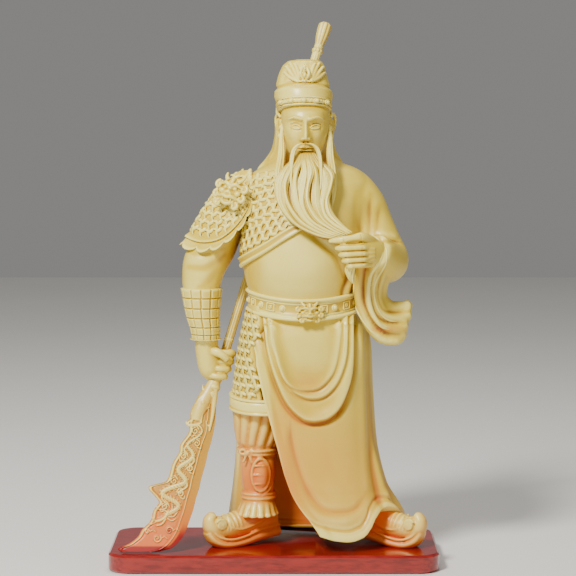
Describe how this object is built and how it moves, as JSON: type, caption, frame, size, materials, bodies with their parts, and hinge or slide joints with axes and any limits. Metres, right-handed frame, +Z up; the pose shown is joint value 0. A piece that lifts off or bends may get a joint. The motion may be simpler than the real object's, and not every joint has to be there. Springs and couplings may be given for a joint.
{
  "type": "guan yu statue",
  "caption": "Standing bearded general in robe and scale armour, stroking his beard and holding a long glaive blade down at his side, on a low rounded plinth.",
  "frame": {"origin": "middle of the plinth's underside", "axes": "+Z up, the front of the figure towards -Y, +X towards the figure's left hand"},
  "size_m": [0.2836, 0.1901, 0.4724],
  "materials": {
    "figure_resin": "cast resin painted ivory yellow, satin, with an ochre wash in the carving",
    "glaive_resin": "cast resin painted ivory yellow, satin, a little browner than the figure",
    "lacquer": "red lacquer, glossy"
  },
  "bodies": {
    "root": {"figure": "figure_resin", "glaive": "glaive_resin", "plinth": "lacquer"}
  },
  "joints": []
}
